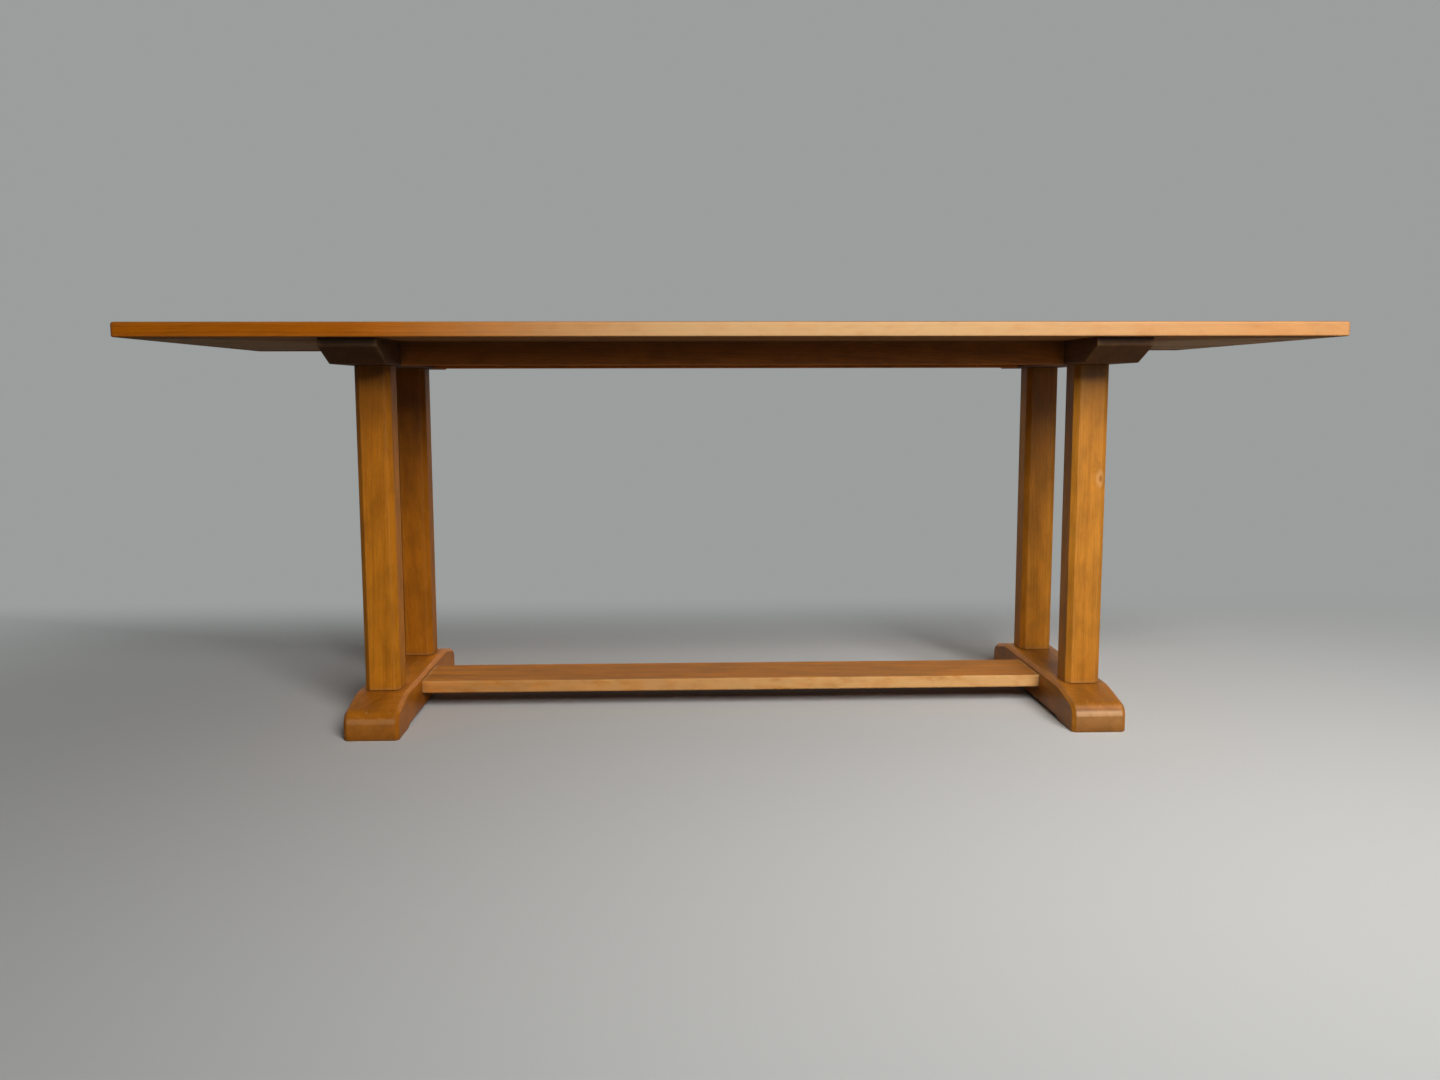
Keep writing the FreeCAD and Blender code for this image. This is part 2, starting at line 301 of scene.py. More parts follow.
def add(tree, kind, inputs=None, **settings):    # one shader node, with values or links put in
    node = tree.nodes.new("ShaderNode" + kind)
    for key, value in settings.items():
        setattr(node, key, value)
    for key, value in (inputs or {}).items():
        if isinstance(value, bpy.types.NodeSocket):
            tree.links.new(value, node.inputs[key])
        else:
            node.inputs[key].default_value = value
    return node


def maths(tree, operation, *values):
    return add(tree, "Math", dict(enumerate(values)), operation=operation).outputs[0]


def vectors(tree, operation, *values):
    node = add(tree, "VectorMath", dict(enumerate(values)), operation=operation)
    return node.outputs["Value" if operation in ("LENGTH", "DOT_PRODUCT") else "Vector"]


def along(tree, vector, axis):
    return add(tree, "SeparateXYZ", {"Vector": vector}).outputs[axis]


def together(tree, **values):
    return add(tree, "CombineXYZ", values).outputs[0]


def ramp(tree, value, low, high, start=0.0, finish=1.0):    # smooth step from start to finish
    inputs = {"Value": value, "From Min": low, "From Max": high, "To Min": start, "To Max": finish}
    return add(tree, "MapRange", inputs, interpolation_type="SMOOTHSTEP", clamp=True).outputs["Result"]


def spots(tree, vector, scale, detail, roughness):    # noise, with a scale for each axis
    inputs = {"Vector": vectors(tree, "MULTIPLY", vector, scale), "Scale": 1.0,
              "Detail": detail, "Roughness": roughness}
    return add(tree, "TexNoise", inputs, noise_dimensions="3D").outputs


def mixColour(tree, share, first, second, blend="MIX"):
    node = add(tree, "Mix", data_type="RGBA", blend_type=blend)
    for socket, value in (("Factor_Float", share), ("A_Color", first), ("B_Color", second)):
        target = next(i for i in node.inputs if i.identifier == socket)
        if isinstance(value, bpy.types.NodeSocket):
            tree.links.new(value, target)
        else:
            target.default_value = (*value, 1.0) if isinstance(value, tuple) else value
    return next(o for o in node.outputs if o.identifier == "Result_Color")


def grainWay(grain):
    way = [0.0, 0.0, 0.0]
    way["xyz".index(grain)] = 1.0
    return tuple(way)


def grainPlace(tree, place, look, grain, centre, pith, seed):    # X along the grain, Y and Z off the heart
    angles = oakGrain["turn"][grain]
    turn = Matrix.Identity(3)
    for angle, axis in zip(angles, "XYZ"):
        turn = Matrix.Rotation(angle, 3, axis) @ turn
    start = seed * oakGrain["seedStep"]
    shift = Vector((start, *pith)) - turn @ Vector(centre)
    mapping = {"Vector": place["Object"], "Location": shift, "Rotation": angles}
    at = add(tree, "Mapping", mapping, vector_type="POINT").outputs["Vector"]
    run = maths(tree, "SUBTRACT", along(tree, at, "X"), start)
    first, second = oakGrain["leanTurns"]
    stray = together(tree, Y=maths(tree, "MULTIPLY", run, look["lean"] * math.sin(first * seed)),
                     Z=maths(tree, "MULTIPLY", run, look["lean"] * math.cos(second * seed)))
    return vectors(tree, "ADD", at, stray)


def knotDistance(tree, place, grain, knot):    # in radii of the knot
    across = knotLook["across"]
    spread = Vector((across, across, across)) + Vector(grainWay(grain)) * (knotLook["along"] - across)
    off = vectors(tree, "SUBTRACT", place["Object"], knot)
    return vectors(tree, "LENGTH", vectors(tree, "DIVIDE", off, spread))


def woodCells(tree, at, look):    # year rings, fibres, pores and rays
    wander = vectors(tree, "SUBTRACT", spots(tree, at, *oakSpots["wander"])["Color"], (0.5, 0.5, 0.5))
    reach = (0.0, look["ringWander"], look["ringWander"])
    bent = vectors(tree, "ADD", at, vectors(tree, "MULTIPLY", wander, reach))
    radius = vectors(tree, "LENGTH", vectors(tree, "MULTIPLY", bent, (0.0, 1.0, 1.0)))
    years = {"W": maths(tree, "MULTIPLY", radius, oakGrain["growth"])}
    growth = add(tree, "TexNoise", years, noise_dimensions="1D").outputs[0]
    rings = maths(tree, "MULTIPLY", radius, 1.0 / look["ringSpacing"])
    year = maths(tree, "FRACT", maths(tree, "MULTIPLY_ADD", growth, oakGrain["growthSwing"], rings))
    early = ramp(tree, year, 0.0, oakGrain["earlyWood"], 1.0, 0.0)
    late = ramp(tree, year, oakGrain["lateWood"], 1.0)
    holes = {"Vector": vectors(tree, "MULTIPLY", at, oakGrain["pores"]), "Scale": 1.0}
    pore = add(tree, "TexVoronoi", holes, feature="F1").outputs["Distance"]
    pore = ramp(tree, pore, *oakSteps["pore"], 1.0, 0.0)
    pore = maths(tree, "MULTIPLY", pore, maths(tree, "MULTIPLY_ADD", early, *oakGrain["poreRings"]))
    bearing = maths(tree, "ARCTAN2", along(tree, bent, "Z"), along(tree, bent, "Y"))
    rayPlace = together(tree, X=along(tree, bent, "X"), Y=radius, Z=bearing)
    ray = ramp(tree, spots(tree, rayPlace, *oakSpots["ray"])[0], *oakSteps["ray"])
    fibre = spots(tree, bent, *oakSpots["fibre"])[0]
    return {"bent": bent, "early": early, "late": late, "pore": pore, "ray": ray, "fibre": fibre}


def stained(tree, place, cells, drift, look):    # the finish as it was put on, and painted shade by height
    colour = mixColour(tree, ramp(tree, drift, *oakSteps["drift"]), look["pale"], look["honey"])
    layers = (("late", "lateDepth", "late"), ("early", "ringDepth", "ring"), ("ray", "rayDepth", "ray"))
    for mark, depth, tone in layers:
        colour = mixColour(tree, maths(tree, "MULTIPLY", cells[mark], look[depth]), colour, look[tone])
    streak = ramp(tree, cells["fibre"], *oakSteps["streak"], *look["streaks"])
    blotch = spots(tree, cells["bent"], *oakSpots["blotch"])[0]
    shade = maths(tree, "MULTIPLY", streak, ramp(tree, blotch, *oakSteps["blotch"], *look["blotches"]))
    # painted shade: the colour darkens towards the top between the two heights
    if look["paintedShade"] < 1.0:
        level = along(tree, place["Object"], "Z")
        shade = maths(tree, "MULTIPLY", shade, ramp(tree, level, *look["paintedShadeSpan"], 1.0, look["paintedShade"]))
    colour = mixColour(tree, 1.0, colour, together(tree, X=shade, Y=shade, Z=shade), "MULTIPLY")
    return mixColour(tree, maths(tree, "MULTIPLY", cells["pore"], look["poreDepth"]), colour, look["pore"])


def knotted(tree, colour, off):
    rise = ramp(tree, off, *knotLook["rimIn"])
    rim = maths(tree, "MULTIPLY", rise, ramp(tree, off, *knotLook["rimOut"], knotLook["rimDepth"], 0.0))
    heart = ramp(tree, off, *knotLook["heartEdge"], knotLook["heartDepth"], 0.0)
    return mixColour(tree, heart, mixColour(tree, rim, colour, knotLook["rim"]), knotLook["heart"])


def endGrain(tree, place, colour, grain, look):
    facing = maths(tree, "ABSOLUTE", vectors(tree, "DOT_PRODUCT", place["Normal"], grainWay(grain)))
    dark = (look["endDark"],) * 3
    return mixColour(tree, ramp(tree, facing, *oakSteps["cutEnd"]), colour,
                     mixColour(tree, 1.0, colour, dark, "MULTIPLY"))


def rimBand(tree, place, colour, drift, look):    # a darker band along the long edges of the underside
    side = maths(tree, "ABSOLUTE", along(tree, place["Object"], "Y"))
    inward = maths(tree, "SUBTRACT", maths(tree, "SUBTRACT", cadBox[1].y, side), rimBandLook["fray"] / 2)
    inward = maths(tree, "MULTIPLY_ADD", drift, rimBandLook["fray"], inward)
    out = maths(tree, "ABSOLUTE", along(tree, place["Object"], "X"))
    reach = ramp(tree, out, *rimBandLook["overhang"], 1.0, rimBandLook["overhangReach"])
    full, none = [share * look["rimBandReach"] for share in rimBandLook["fade"]]
    band = ramp(tree, maths(tree, "DIVIDE", inward, reach), full, none, rimBandLook["depth"], 0.0)
    return mixColour(tree, band, colour, look["rimBandTone"], "MULTIPLY")


def nearby(tree, distance, **settings):    # 1 in the open, less where a face is close
    settings["samples"] = oakGrain["cornerSamples"]
    return add(tree, "AmbientOcclusion", {"Distance": distance}, **settings).outputs["AO"]


def wornAndSheenMask(tree, place, at, look):    # where the colour turns pale: wear on arrises and scuffs, and on faces that look one way, which is wear on the stretcher and painted sheen on the top's front edge and the toes
    patch = spots(tree, at, *oakSpots["patch"])[0]
    hollow = nearby(tree, look["arris"], inside=True, only_local=True)
    arris = ramp(tree, hollow, *oakSteps["arris"], look["wear"], 0.0)
    wornAndSheen = maths(tree, "MULTIPLY", arris, ramp(tree, patch, *oakSteps["wornAndSheen"], look["wearPatch"], 1.0))
    # painted sheen and highlight on the top's front edge and the toes; on the stretcher this is wear
    if look["rubbed"]:
        facing = vectors(tree, "DOT_PRODUCT", place["Normal"], look["rubbedAndSheenWay"])
        side = along(tree, place["Object"], "X")
        fade = ramp(tree, side, *look["rubbedFade"], 1.0, look["rubbedAndSheenEnd"])
        share = maths(tree, "MULTIPLY", ramp(tree, side, *look["rubbedAndSheenSpan"], 0.0, look["rubbed"]), fade)
        uneven = ramp(tree, patch, *oakSteps["rubbed"], look["rubbedAndSheenPatch"], 1.0)
        rubbed = maths(tree, "MULTIPLY", ramp(tree, facing, *look["rubbedAndSheenRange"]), uneven)
        wornAndSheen = maths(tree, "MAXIMUM", wornAndSheen, maths(tree, "MULTIPLY", rubbed, share))
    if look["scuff"]:
        knocks = spots(tree, at, *oakSpots["knock"])[0]
        wornAndSheen = maths(tree, "MAXIMUM", wornAndSheen, ramp(tree, knocks, *oakSteps["knock"], 0.0, look["scuff"]))
    return wornAndSheen


# dust and shoe soil on level faces, partly painted shade that darkens the feet's and the stretcher's upper
# faces
def dustedAndShaded(tree, place, at, colour, look):
    level = ramp(tree, along(tree, place["Normal"], "Z"), *oakSteps["level"])
    film = spots(tree, at, *oakSpots["film"])[0]
    film = ramp(tree, film, *oakSteps["film"], look["dustAndShadePatch"] * look["dustAndShade"], look["dustAndShade"])
    return mixColour(tree, maths(tree, "MULTIPLY", level, film), colour, look["dustAndShadeTone"])


def oak(name, look, grain, centre, pith, seed, tint=(1.0, 1.0, 1.0), knot=None):
    material, tree = newTree(name)
    place = add(tree, "TexCoord").outputs
    at = grainPlace(tree, place, look, grain, centre, pith, seed)
    if knot:
        off = knotDistance(tree, place, grain, knot)
        push = ramp(tree, off, 0.0, knotLook["pushReach"], knotLook["push"], 0.0)
        at = vectors(tree, "ADD", at, together(tree, Y=push, Z=push))
    cells = woodCells(tree, at, look)
    drift = spots(tree, at, *oakSpots["drift"])[0]
    colour = stained(tree, place, cells, drift, look)
    if knot:
        colour = knotted(tree, colour, off)
    colour = endGrain(tree, place, colour, grain, look)
    colour = mixColour(tree, 1.0, colour, tint, "MULTIPLY")
    if look["rimBandReach"]:
        colour = rimBand(tree, place, colour, drift, look)
    wornAndSheen = wornAndSheenMask(tree, place, at, look)
    colour = mixColour(tree, wornAndSheen, colour, look["wornAndSheen"])
    if look["dustAndShade"]:
        colour = dustedAndShaded(tree, place, at, colour, look)
    # painted shade: darker in corners, between parts and near the floor, from ambient occlusion
    corner = ramp(tree, nearby(tree, look["corner"]), *oakSteps["corner"], 1.0, 0.0)
    colour = mixColour(tree, maths(tree, "MULTIPLY", corner, look["cornerShadeDepth"]), colour, look["cornerShadeTone"])
    rough = look["roughness"]
    for mark, value in (("pore", cells["pore"]), ("wornAndSheen", wornAndSheen), ("fibre", cells["fibre"])):
        rough = maths(tree, "MULTIPLY_ADD", value, oakGrain["roughening"][mark], rough)
    fibre = maths(tree, "MULTIPLY", cells["fibre"], oakGrain["fibreHeight"])
    height = maths(tree, "MULTIPLY_ADD", cells["pore"], -1.0, fibre)
    bump = add(tree, "Bump", {"Strength": look["bump"], "Distance": look["bumpHeight"], "Height": height})
    shader = add(tree, "BsdfPrincipled", {"Base Color": colour, "Roughness": rough, "Normal": bump.outputs[0],
                                          "Specular IOR Level": look["specular"]})
    add(tree, "OutputMaterial", {"Surface": shader.outputs[0]})
    return material


# Joints

joints = {
    "glueGap": 0.00015,
    "floorGap": 0.002,                  # room beyond a tenon or a tongue
    "postTenon": (0.028, 0.046),
    "railTenon": 0.012,
    "railShoulder": 0.010,
    "stretcherTenon": (0.042, 0.012),
    "stretcherTenonPlace": 0.033,       # from the middle of the stretcher
    "screwSpread": 0.2455,              # outer bearer screws, from the middle of the bearer
    "screwSeat": 0.014,                 # how deep they sit in the bearer
    "screwHole": 0.0053,
    "screwBite": 0.016,
    "pilotGap": 0.001,                  # room beyond the point of a screw
    "buttons": (1, 2, 3),               # on each rail
    "buttonScrew": 0.017,               # from the back of a button
    "overcut": 0.01,                    # how far a cut runs out past a face
    "holeSides": 40,
}


def block(low, high, gaps=(0, 0, 0)):    # a plain block to cut with or to join on
    piece = startBlock("block", Vector(low) - Vector(gaps), Vector(high) + Vector(gaps))
    bpy.ops.object.mode_set(mode="OBJECT")
    return piece


def hole(x, y, bottom, top, width, travel=0.0):    # a round rod to cut with, drawn out along Y for a slot
    bpy.ops.object.select_all(action="DESELECT")
    centre = (x, y, (top + bottom) / 2)
    bpy.ops.mesh.primitive_cylinder_add(vertices=joints["holeSides"], radius=width / 2, depth=top - bottom,
                                        location=centre)
    rod = bpy.context.active_object
    bpy.ops.object.transform_apply(location=True, rotation=True, scale=True)
    if travel:
        bpy.ops.object.mode_set(mode="EDIT")
        for side in (-1, 1):
            moveVerts(rod, lambda v: side * (v.co.y - y) > hair, (0, side * travel / 2, 0))
        bpy.ops.object.mode_set(mode="OBJECT")
    return rod


def combine(piece, other, operation="DIFFERENCE"):    # cuts another shape out of a piece, or joins it on
    bpy.ops.object.select_all(action="DESELECT")
    piece.select_set(True)
    bpy.context.view_layer.objects.active = piece
    bpy.ops.object.modifier_add(type="BOOLEAN")
    piece.modifiers[-1].object = other
    piece.modifiers[-1].operation = operation
    piece.modifiers[-1].solver = "EXACT"
    bpy.ops.object.modifier_apply(modifier=piece.modifiers[-1].name)
    bpy.data.objects.remove(other)


def postTenon(endName, sideName):    # the tenons at both ends of a post as one long box
    low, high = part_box("%s_%s_post" % (endName, sideName))
    centre = (low + high) / 2
    half = Vector((joints["postTenon"][0] / 2, joints["postTenon"][1] / 2, (high.z - low.z) / 2))
    return centre - half, centre + half


def railTenon(sideName):
    low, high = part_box(sideName + "_rail")
    centre = (low + high) / 2
    half = (high - low) / 2
    half.y = joints["railTenon"] / 2
    half.z -= joints["railShoulder"]
    return centre - half, centre + half


def stretcherTenons():
    low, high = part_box("stretcher")
    width, thickness = joints["stretcherTenon"]
    half = Vector(((high.x - low.x) / 2, width / 2, thickness / 2))
    for way in (-1, 1):
        centre = (low + high) / 2 + Vector((0, way * joints["stretcherTenonPlace"], 0))
        yield centre - half, centre + half


def screwPlaces():    # where the heads of the bearer screws and of the button screws seat
    inBearers, inButtons = [], []
    for endName in ends:
        low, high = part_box(endName + "_bearer")
        for way in (-1, 0, 1):
            inBearers.append(((low.x + high.x) / 2, way * joints["screwSpread"], low.z + joints["screwSeat"]))
    for sideName, way in sides.items():
        for number in joints["buttons"]:
            low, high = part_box("%s_button_%d" % (sideName, number))
            back = low.y if way > 0 else high.y
            inButtons.append(((low.x + high.x) / 2, back + way * joints["buttonScrew"], low.z))
    return inBearers, inButtons


alongGaps = (joints["floorGap"], joints["glueGap"], joints["glueGap"])       # mortises for tenons along X
uprightGaps = (joints["glueGap"], joints["glueGap"], joints["floorGap"])
tongueGaps = (joints["floorGap"], joints["floorGap"], joints["glueGap"])
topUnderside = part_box("top_board_1")[0].z
bearerPlaces, buttonPlaces = screwPlaces()


# Boarded top

topBoards = {
    "count": 5,
    "cornerRadius": 0.008,
    "upperEase": 0.0045,
    "lowerEase": 0.003,
    "jointEase": 0.0006,
    "edgeSlack": 0.002,         # a board this close to the edge of the top is an outer one
    "jointSlack": 0.001,
    "levelLimit": 0.8,          # a face whose normal stands steeper is an upper or an under face
    "piths": ((0.055, -0.090), (-0.020, -0.120), (0.015, -0.075), (-0.060, -0.100), (0.030, -0.085)),
    "tints": ((1.0, 1.0, 1.0), (0.90, 0.88, 0.86), (1.03, 1.04, 1.06), (0.94, 0.91, 0.88),
              (0.99, 1.01, 1.02)),
}


def dressFaces(piece, material, wanted):    # gives some of a piece's faces a finish of their own
    piece.data.materials.append(material)
    bpy.ops.object.mode_set(mode="EDIT")
    pick(piece, "FACE", wanted)
    piece.active_material_index = len(piece.data.materials) - 1
    bpy.ops.object.material_slot_assign()
    bpy.ops.object.mode_set(mode="OBJECT")


def topBoard(number):
    node = "top_board_%d" % number
    low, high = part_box(node)
    piece = startBlock("topBoard%d" % number, low, high)
    atEdge = lambda y: any(near(y, corner.y, topBoards["edgeSlack"]) for corner in cadBox)
    outer = [y for y in (low.y, high.y) if atEdge(y)]
    inner = [y for y in (low.y, high.y) if y not in outer]
    roundOver(piece, lambda e: runsAlong(e, "z") and any(near(middle(e).y, y) for y in outer),
              topBoards["cornerRadius"], segments=6)
    rim = lambda e, z: near(middle(e).z, z) and isSharp(e) and not any(near(middle(e).y, y) for y in inner)
    roundOver(piece, lambda e: rim(e, high.z), topBoards["upperEase"], segments=4)
    roundOver(piece, lambda e: rim(e, low.z), topBoards["lowerEase"], segments=3)
    joint = lambda e: runsAlong(e, "x") and isSharp(e) and any(near(middle(e).y, y) for y in inner)
    roundOver(piece, joint, topBoards["jointEase"], segments=1)
    bpy.ops.object.mode_set(mode="OBJECT")
    for tongue in (number - 1, number):
        if 0 < tongue < topBoards["count"]:
            combine(piece, block(*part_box("top_tongue_%d" % tongue), tongueGaps))
    pilotEnd = low.z + joints["screwBite"] + joints["pilotGap"]
    for x, y, _ in bearerPlaces + buttonPlaces:
        if low.y < y < high.y:
            combine(piece, hole(x, y, low.z - joints["overcut"], pilotEnd, joints["screwHole"]))
    grain = ("x", (low + high) / 2, topBoards["piths"][number - 1], number, topBoards["tints"][number - 1])
    finishPiece(piece, node, oak("oakTopFace%d" % number, topOak, *grain))
    level = topBoards["levelLimit"]
    atJoint = lambda f: any(near(f.calc_center_median().y, y, topBoards["jointSlack"]) for y in inner)
    atRim = lambda f: abs(f.normal.z) < level and not atJoint(f)
    dressFaces(piece, oak("oakTopEdge%d" % number, edgeOak, *grain), atRim)
    dressFaces(piece, oak("oakUnderside%d" % number, underOak, *grain), lambda f: f.normal.z < -level)
    return piece


boards = [topBoard(number) for number in range(1, topBoards["count"] + 1)]
print("top boards done")


# Posts

postShape = {
    "chamfer": 0.010,
    "ease": 0.0012,
    "seed": 11,
    "piths": ((0.07, 0.05), (-0.06, 0.08), (0.09, -0.04), (-0.08, -0.06)),
    "tints": ((1.05, 1.05, 0.85), (0.87, 0.86, 0.55), (1.0, 1.13, 1.85), (0.97, 1.06, 1.25)),
    "knots": {"rightFrontPost": (0.701, -0.1935, 0.472)},    # where a knot shows
}


def post(endName, sideName, number):
    node = "%s_%s_post" % (endName, sideName)
    low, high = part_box(node)
    low.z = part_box(endName + "_foot")[1].z
    high.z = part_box(endName + "_bearer")[0].z
    piece = startBlock(endName + sideName.capitalize() + "Post", low, high)
    roundOver(piece, lambda e: runsAlong(e, "z"), postShape["chamfer"], segments=1)
    roundOver(piece, isSharp, postShape["ease"], segments=2)
    bpy.ops.object.mode_set(mode="OBJECT")
    combine(piece, block(*postTenon(endName, sideName)), "UNION")
    pith, tint = postShape["piths"][number], postShape["tints"][number]
    seed = postShape["seed"] + number
    grain = ("z", (low + high) / 2, pith, seed, tint, postShape["knots"].get(piece.name))
    finishPiece(piece, node, oak("oakPost%d" % number, postOak, *grain))


for number, (endName, sideName) in enumerate([(e, s) for e in ends for s in sides]):
    post(endName, sideName, number)
print("posts done")


# Bearers

bearerShape = {
    "lip": 0.015,
    "slopeRun": 0.070,
    "ease": 0.0025,
    "pocket": 0.016,
    "pocketTravel": 0.008,      # how much longer the outer pockets are, for the top to move
    "seed": 21,
    "piths": ((0.05, 0.09), (-0.07, 0.08)),
    # the left bearer's darker tint is painted shade
    "tints": ((0.70, 0.68, 0.64), (1.0, 0.98, 0.95)),
}


def bearer(endName, number):
    node = endName + "_bearer"
    low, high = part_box(node)
    piece = startBlock(endName + "Bearer", low, high)
    for y in (low.y + bearerShape["slopeRun"], high.y - bearerShape["slopeRun"]):
        cutAcross("y", y)
    tips = lambda v: near(v.co.z, low.z) and (near(v.co.y, low.y) or near(v.co.y, high.y))
    moveVerts(piece, tips, (0, 0, high.z - low.z - bearerShape["lip"]))
    roundOver(piece, lambda e: isSharp(e) and not near(middle(e).z, high.z), bearerShape["ease"], segments=3)
    bpy.ops.object.mode_set(mode="OBJECT")
    for sideName in sides:
        combine(piece, block(*postTenon(endName, sideName), uprightGaps))
        combine(piece, block(*railTenon(sideName), alongGaps))
    for x, y, seat in bearerPlaces:
        if low.x < x < high.x:
            travel = bearerShape["pocketTravel"] if y else 0.0    # the middle screw holds the top in place
            bottom, top = low.z - joints["overcut"], high.z + joints["overcut"]
            combine(piece, hole(x, y, bottom, seat, bearerShape["pocket"], travel))
            combine(piece, hole(x, y, bottom, top, joints["screwHole"], travel))
    pith, tint = bearerShape["piths"][number], bearerShape["tints"][number]
    grain = ("y", (low + high) / 2, pith, bearerShape["seed"] + number, tint)
    finishPiece(piece, node, oak("oakBearer%d" % number, bearerOak, *grain))


# Feet

footShape = {
    "flat": 0.1965,          # half length of the level top
    "toe": 0.051,
    "toeSetback": 0.021,     # the toe and the break are rounded by this much along each face
    "breakSetback": 0.012,
    "soleRelief": 0.006,
    "reliefRun": 0.014,
    "pad": 0.088,
    "chamfer": 0.0065,
    "chamferEase": 0.0010,
    "soleEase": 0.002,
    "slack": 0.001,
    "turns": {"flat": 0.5, "break": 5, "ease": 35, "sole": 40, "arris": 60},    # of its edges, in degrees
    "seed": 31,
    "rubbed": (0.25, 0.62),             # how the left and the right foot differ in the painted highlight on their toes
    "speculars": (0.08, 0.12),
    "endDarks": (0.86, 0.64),
    "tints": ((0.98, 0.94, 0.72), (0.82, 0.85, 1.05)),
    "piths": ((0.04, 0.11), (-0.05, 0.10)),
}


def foot(endName, number):
    node = endName + "_foot"
    low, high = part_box(node)
    piece = startBlock(endName + "Foot", low, high)
    flat = footShape["flat"]
    pad = high.y - footShape["pad"]
    arch = pad - footShape["reliefRun"]
    toe = low.z + footShape["toe"]
    for y in (-pad, -arch, arch, pad, -flat, flat):
        cutAcross("y", y)
    tips = lambda v: near(v.co.z, high.z) and (near(v.co.y, low.y) or near(v.co.y, high.y))
    moveVerts(piece, tips, (0, 0, toe - high.z))
    slope = (high.z - toe) / (high.y - flat)
    relief = footShape["soleRelief"]
    slack = footShape["slack"]
    turns = {name: math.radians(angle) for name, angle in footShape["turns"].items()}
    moveVerts(piece, lambda v: near(v.co.z, high.z) and near(abs(v.co.y), pad), (0, 0, -slope * (pad - flat)))
    moveVerts(piece, lambda v: near(v.co.z, low.z) and abs(v.co.y) < arch + slack, (0, 0, relief))
    ramped = lambda v: near(v.co.z, low.z) and near(abs(v.co.y), flat)
    moveVerts(piece, ramped, (0, 0, relief * (pad - flat) / footShape["reliefRun"]))
    bpy.ops.mesh.select_all(action="SELECT")
    bpy.ops.mesh.dissolve_limited(angle_limit=turns["flat"])
    across = lambda e, z: runsAlong(e, "x") and isSharp(e, turns["break"]) and near(middle(e).z, z)
    roundOver(piece, lambda e: across(e, high.z), footShape["breakSetback"], segments=4)
    roundOver(piece, lambda e: across(e, toe), footShape["toeSetback"], segments=10)
    above = lambda e: max(v.co.z for v in e.verts) > low.z + relief + slack
    arris = lambda e: isSharp(e, turns["arris"]) and not runsAlong(e, "x") and above(e)
    roundOver(piece, arris, footShape["chamfer"], segments=1)
    edges = lambda e: isSharp(e, turns["ease"]) and above(e)
    roundOver(piece, edges, footShape["chamferEase"], segments=2)
    sole = lambda e: isSharp(e, turns["sole"]) and max(v.co.z for v in e.verts) < low.z + relief + 2 * slack
    roundOver(piece, sole, footShape["soleEase"], segments=2)
    bpy.ops.object.mode_set(mode="OBJECT")
    for sideName in sides:
        combine(piece, block(*postTenon(endName, sideName), uprightGaps))
    for tenon in stretcherTenons():
        combine(piece, block(*tenon, alongGaps))
    look = dict(footOak, rubbed=footShape["rubbed"][number], specular=footShape["speculars"][number],
                endDark=footShape["endDarks"][number])
    pith, tint = footShape["piths"][number], footShape["tints"][number]
    grain = ("y", (low + high) / 2, pith, footShape["seed"] + number, tint)
    finishPiece(piece, node, oak("oakFoot%d" % number, look, *grain))


for number, endName in enumerate(ends):
    bearer(endName, number)
    foot(endName, number)
print("bearers and feet done")


# Stretcher and rails

stretcherShape = {"ease": 0.004, "pith": (0.05, -0.10), "tint": (1.18, 1.12, 0.92), "seed": 41}
railShape = {
    "ease": 0.003,
    "notchDepth": 0.013,       # mortises for the buttons, in the inner face
    "notchRoof": 0.010,        # below the top
    "notchSlack": 0.001,
    "seed": 51,
    "piths": ((-0.07, 0.05), (0.08, 0.06)),
    "tint": (1.13, 1.12, 1.05),
}


def stretcher():
    low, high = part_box("stretcher")
    low.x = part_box("left_foot")[1].x
    high.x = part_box("right_foot")[0].x
    piece = startBlock("footStretcher", low, high)
    roundOver(piece, lambda e: runsAlong(e, "x"), stretcherShape["ease"], segments=4)
    bpy.ops.object.mode_set(mode="OBJECT")
    for tenon in stretcherTenons():
        combine(piece, block(*tenon), "UNION")
    grain = ("x", (low + high) / 2, stretcherShape["pith"], stretcherShape["seed"], stretcherShape["tint"])
    finishPiece(piece, "stretcher", oak("oakStretcher", stretcherOak, *grain))


def rail(sideName, number):
    node = sideName + "_rail"
    low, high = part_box(node)
    low.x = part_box("left_bearer")[1].x
    high.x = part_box("right_bearer")[0].x
    piece = startBlock(sideName + "Rail", low, high)
    roundOver(piece, lambda e: runsAlong(e, "x") and near(middle(e).z, low.z), railShape["ease"], segments=3)
    bpy.ops.object.mode_set(mode="OBJECT")
    combine(piece, block(*railTenon(sideName)), "UNION")
    slack = Vector((railShape["notchSlack"], 0, railShape["notchSlack"]))
    for button in joints["buttons"]:
        first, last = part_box("%s_button_%d" % (sideName, button))
        if sides[sideName] > 0:
            last.y = low.y + railShape["notchDepth"]
        else:
            first.y = high.y - railShape["notchDepth"]
        last.z = high.z - railShape["notchRoof"] - railShape["notchSlack"]
        combine(piece, block(first, last, slack))
    pith, tint = railShape["piths"][number], railShape["tint"]
    grain = ("x", (low + high) / 2, pith, railShape["seed"] + number, tint)
    finishPiece(piece, node, oak("oakRail%d" % number, railOak, *grain))


stretcher()
for number, sideName in enumerate(sides):
    rail(sideName, number)
print("stretcher and rails done")


# Screws

